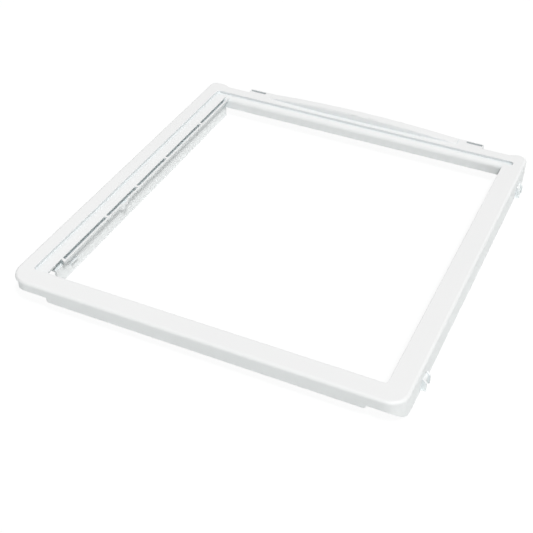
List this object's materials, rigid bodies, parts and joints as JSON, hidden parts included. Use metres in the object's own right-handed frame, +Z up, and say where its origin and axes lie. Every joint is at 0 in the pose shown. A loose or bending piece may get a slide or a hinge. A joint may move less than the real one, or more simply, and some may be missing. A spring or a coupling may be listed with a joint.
{
  "type": "meat pan cover",
  "caption": "White moulded frame that covers a refrigerator meat pan: flat band, sunk seat for a glass pane, sprung left edge, deep right wall with pegs, crowned rear tab.",
  "frame": {"origin": "centre of the bounding box in plan, on the plane of the feet", "axes": "+X to the right, +Y to the back with the crowned tab, +Z up"},
  "size_m": [0.4064, 0.4416, 0.0355],
  "materials": {
    "white_plastic": "satin moulded"
  },
  "bodies": {
    "root": {"cover_frame": "white_plastic"}
  },
  "joints": []
}
